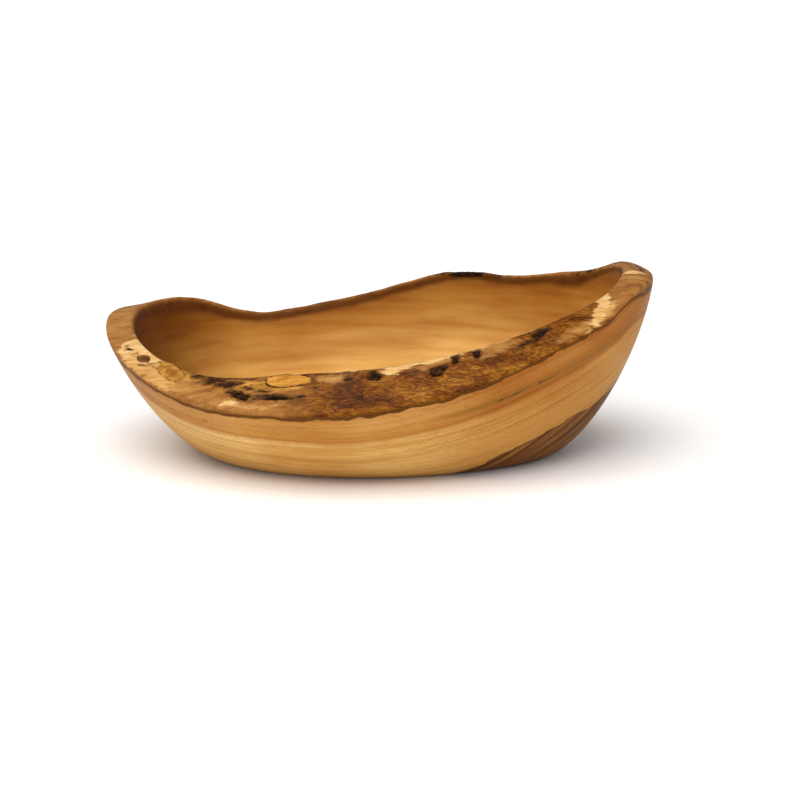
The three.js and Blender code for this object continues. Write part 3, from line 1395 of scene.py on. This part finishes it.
    def join_skin(self, tree: Tree, spot: Spot, body: Socket, skin: Socket) -> Socket:
        """Lay the skin over the body down to the skin's thickness, with a dark line under it.

        Args:
            tree: The tree it goes in.
            spot: The place on the bowl.
            body: The colour of the wood under the skin.
            skin: The colour of the skin.

        Returns:
            The colour of both.
        """
        ragged = Grain((9, 7, 7), 2).drawn(tree, spot.place)
        ragged = add(tree, "MapRange", {0: ragged, 1: 0.25, 2: 0.75, 3: -1})[0]
        sway = add(tree, "MapRange", {0: spot.skins, 1: 0, 2: 0.7}, **EASED)[0]
        for value, factor, base in ((spot.burl, 0.22, 0.3), (spot.inside, -0.75, 1)):
            part = add(tree, "Math", {0: value, 1: factor, 2: base}, operation="MULTIPLY_ADD")[0]
            sway = add(tree, "Math", {0: sway, 1: part}, operation="MULTIPLY")[0]
        skins = add(tree, "Math", {0: ragged, 1: sway, 2: spot.skins}, operation="MULTIPLY_ADD")[0]
        line = add(tree, "MapRange", {0: skins, 1: 0.15, 2: 0.6}, **EASED)[0]
        strong = add(tree, "Math", {0: spot.inside, 1: -0.45, 2: 0.9}, operation="MULTIPLY_ADD")[0]
        line = add(tree, "Math", {0: line, 1: strong}, operation="MULTIPLY")[0]
        edge = add(tree, "Mix", {0: line, 6: skin, 7: linear("58330b")}, **Laid.OVER.value)[2]
        gone = add(tree, "Math", {0: spot.inside, 1: 0.5, 2: 1.2}, operation="MULTIPLY_ADD")[0]
        under = add(tree, "MapRange", {0: skins, 1: 0.88, 2: gone}, **EASED)[0]
        return add(tree, "Mix", {0: under, 6: edge, 7: body}, **Laid.OVER.value)[2]


@dataclass(frozen=True)
class KnotWood:
    """Branch wood cut across: streaky, with a darker heart and a thin broken line where it ends.

    Attributes:
        name: The material's name.
        tones: From its darkest streaks to its lightest.
        heart: The colour of its middle.
        heart_reach: How far out its heart reaches, from 0 to 1.
        line: The colour of the line round it.
    """

    name: str
    tones: tuple[str, str, str]
    heart: str
    heart_reach: float
    line: str = "2b180a"

    def make(self) -> bpy.types.Material:
        """Build the material.

        Returns:
            The material.
        """
        # Knot wood: a streaked eye in the rim, with a ragged line round it and a heart of its own.
        wood, tree = new_tree(self.name)
        place = in_millimetres(tree)
        ring = add(tree, "Attribute", attribute_name="ring")["Fac"]
        streaks = Grain((6, 2, 2), 4, roughness=0.6, distortion=0.6).drawn(tree, place)
        dark, middle, light = self.tones
        colour = add(tree, "ValToRGB", {0: streaks}, stops=((0.34, dark), (0.5, middle), (0.66, light)))[0]
        wave = add(tree, "MapRange", {0: streaks, 3: -0.3, 4: 0.3})[0]
        waved = add(tree, "Math", {0: ring, 1: wave}, operation="ADD")[0]

        reach = {0: waved, 1: self.heart_reach + 0.08, 2: self.heart_reach - 0.1, 4: 0.8}
        inner = add(tree, "MapRange", reach, **EASED)[0]
        colour = add(tree, "Mix", {0: inner, 6: colour, 7: linear(self.heart)}, **Laid.OVER.value)[2]
        broken = Grain((3, 3, 3), 2).drawn(tree, place)
        broken = add(tree, "MapRange", {0: broken, 1: 0.36, 2: 0.5}, **EASED)[0]
        line = add(tree, "MapRange", {0: waved, 1: 0.84, 2: 0.96}, **EASED)[0]
        line = add(tree, "Math", {0: line, 1: broken}, operation="MULTIPLY")[0]
        colour = add(tree, "Mix", {0: line, 6: colour, 7: linear(self.line)}, **Laid.OVER.value)[2]
        OILED.close(tree, colour, 0.5, streaks)
        return wood


@dataclass(frozen=True)
class OldBark:
    """Old bark caught in the folds of the rim: dry, nearly black, and crumbly.

    Attributes:
        crumb: How many millimetres one crumb spans.
        tones: From its darkest crumbs to its lightest.
    """

    crumb: float = 1.6
    tones: Ramp = ((0.38, "110904"), (0.52, "2a170a"), (0.66, "5a3718"))

    def make(self) -> bpy.types.Material:
        """Build the material.

        Returns:
            The material.
        """
        # Old bark: dry dark crumbs, which read as a filled crack in the rim.
        bark, tree = new_tree("old_olive_bark")
        grain = Grain((2 * self.crumb, self.crumb, self.crumb), 5, roughness=0.65)
        crumbs = grain.drawn(tree, in_millimetres(tree))
        colour = add(tree, "ValToRGB", {0: crumbs}, stops=self.tones)[0]
        DRY.close(tree, colour, 0.9, crumbs)
        return bark


@dataclass(frozen=True)
class SoftLight:
    """A large far-off light: where it shines from, how wide it looks, and how strong it is.

    Attributes:
        name: Its name.
        turn: Degrees round from the front, positive towards the left.
        height: Degrees above the table.
        width: How many degrees of the sky it fills: wider is softer.
        power: Its strength, in watts a square metre.
    """

    name: str
    turn: float
    height: float
    width: float
    power: float

    def hang(self) -> None:
        """Put the light in the scene, shining on the bowl."""
        lamp = bpy.data.lights.new(self.name, "SUN")
        lamp.angle = math.radians(self.width)
        lamp.energy = self.power
        holder = bpy.data.objects.new(self.name, lamp)
        turn, height = math.radians(self.turn), math.radians(self.height)
        level = math.cos(height)
        ray = Vector((math.sin(turn) * level, math.cos(turn) * level, -math.sin(height)))
        holder.rotation_euler = ray.to_track_quat("-Z", "Y").to_euler()
        bpy.context.scene.collection.objects.link(holder)


@dataclass(frozen=True)
class Studio:
    """A white table-top studio, and the camera.

    Attributes:
        target: What the camera looks at, in millimetres.
        distance: How far off it is.
        elevation: How far above the table it looks from, in degrees.
        lens: Its focal length.
        sensor: How wide its sensor is.
        lights: The softboxes.
        room: The brightness of the white room.
        paper: Half the width of the paper on the table.
    """

    target: tuple[float, float, float] = (9.6, 0, 24)
    distance: float = 900
    elevation: float = 13.5
    lens: float = 88.1
    sensor: float = 36
    lights: tuple[SoftLight, ...] = (
        SoftLight("softbox_left", 24, 66, 54, 2.3),
        SoftLight("softbox_front", 8, 30, 60, 1.25),
    )
    room: float = 0.4
    paper: float = 12000

    def build(self) -> None:
        """Set up the room's light, the softboxes, the floor and the camera."""
        bpy.context.scene.view_settings.view_transform = "Standard"
        for light in self.lights:
            light.hang()
        self.light_room()
        self.lay_floor()
        self.place_camera()

    def light_room(self) -> None:
        """Light the room: the camera sees its walls white, and the bowl is lit by them more softly."""
        world = bpy.data.worlds.new("white_room")
        bpy.context.scene.world = world
        world.use_nodes = True
        tree = world.node_tree
        tree.nodes.clear()
        glow = add(tree, "Background", {0: linear("ffffff"), "Strength": self.room})[0]
        wall = add(tree, "Background", {0: linear("ffffff"), "Strength": 1})[0]
        seen = add(tree, "LightPath")["Is Camera Ray"]
        both = add(tree, "MixShader", {0: seen, 1: glow, 2: wall})[0]
        add(tree, "OutputWorld", {0: both})

    def lay_floor(self) -> None:
        """Lay the table's white paper."""
        # White paper: a plain matt ground, mottled so little that it only stops it looking flat.
        paper, tree = new_tree("white_paper")
        place = add(tree, "TexCoord")["Object"]
        grain = add(tree, "TexNoise", {0: place, "Scale": per(60), "Detail": 2})[0]
        tone = add(tree, "ValToRGB", {0: grain}, stops=((0.3, "f4f2f0"), (0.7, "f6f4f2")))[0]
        shader = add(tree, "BsdfPrincipled", {"Base Color": tone, "Roughness": 0.9})[0]
        add(tree, "OutputMaterial", {0: shader})
        shape = bmesh.new()
        bmesh.ops.create_grid(shape, x_segments=1, y_segments=1, size=self.paper * MM)
        mesh = bpy.data.meshes.new("paper_floor")
        shape.to_mesh(mesh)
        shape.free()
        mesh.materials.append(paper)
        floor = bpy.data.objects.new("paper_floor", mesh)
        bpy.context.scene.collection.objects.link(floor)

    def place_camera(self) -> None:
        """Set the camera in front of the bowl, looking a little down at it."""
        camera = bpy.data.cameras.new("camera")
        camera.lens = self.lens
        camera.sensor_width = self.sensor
        holder = bpy.data.objects.new("camera", camera)
        tilt = math.radians(self.elevation)
        back = Vector((0, -math.cos(tilt), math.sin(tilt))) * self.distance * MM
        holder.location = Vector(self.target) * MM + back
        holder.rotation_euler = (-back).to_track_quat("-Z", "Y").to_euler()
        bpy.context.scene.collection.objects.link(holder)
        bpy.context.scene.camera = holder


# How long and how wide each body is in the rim, in millimetres, and its slant in degrees.
BARK_SIZES = {
    "bark_pocket_1": (12, 3.4, -12),
    "bark_pocket_2": (15, 2.4, 0),
    "bark_pocket_3": (6.5, 4.4, 2),
    "bark_pocket_4": (8, 5, 14),
    "bark_pocket_5": (4, 3.6, 30),
    "bark_pocket_6": (3.2, 4.2, 10),
    "bark_pocket_7": (10, 4, 6),
    "bark_pocket_8": (21, 3.2, 0),
}
KNOT_SIZES = {
    "dark_knot": (8, 5.5, 10),
    "ringed_knot": (19, 8.6, -6),
    "golden_knot": (22, 7.5, 3),
}


def seat_of(node: str, size: tuple[float, float, float], rim: Unrolled, **cut: float) -> Seat:
    """Find a body's seat in the rim.

    Args:
        node: The body's node, which is where it is.
        size: Its size along and across the rim, and its slant.
        rim: The rim laid out flat.
        cut: The other settings of the seat.

    Returns:
        The seat.
    """
    turn, across = in_rim(node, rim)
    return Seat(Mark(turn, across, *size), seed=turn / 10, **cut)


def main() -> None:
    """Build the studio, the bowl and what is grown into it."""
    logging.basicConfig(level=logging.INFO, format="%(message)s")
    Studio().build()
    rim = Unrolled(Carving())

    knots = {n: seat_of(n, size, rim, sunk=1.0, ragged=0.14) for n, size in KNOT_SIZES.items()}
    bark = {n: seat_of(n, size, rim, sunk=1.6, ragged=0.4, stained=0.5) for n, size in BARK_SIZES.items()}
    BowlBody(rim, (*knots.values(), *bark.values())).build(OliveWood().make())

    finishes = {
        "dark_knot": KnotWood("dark_knot_wood", ("3c220e", "5f3c1c", "7a522c"), "57341a", 0.4),
        "ringed_knot": KnotWood("ringed_knot_wood", ("8a571b", "a8722c", "c08f46"), "84501f", 0.45),
        "golden_knot": KnotWood("golden_knot_wood", ("905a1a", "b0762a", "c8923f"), "a87028", 0.1),
    }
    for node, seat in knots.items():
        GrownIn(node, seat, rim, proud=0.15, rolled=0.5, rough=0.08).build(finishes[node].make(), "knot_wood")
    crumbly = OldBark().make()
    for node, seat in bark.items():
        GrownIn(node, seat, rim, proud=-0.8, rolled=0.8, rough=0.4).build(crumbly, "old_bark")


if __name__ == "__main__":
    main()
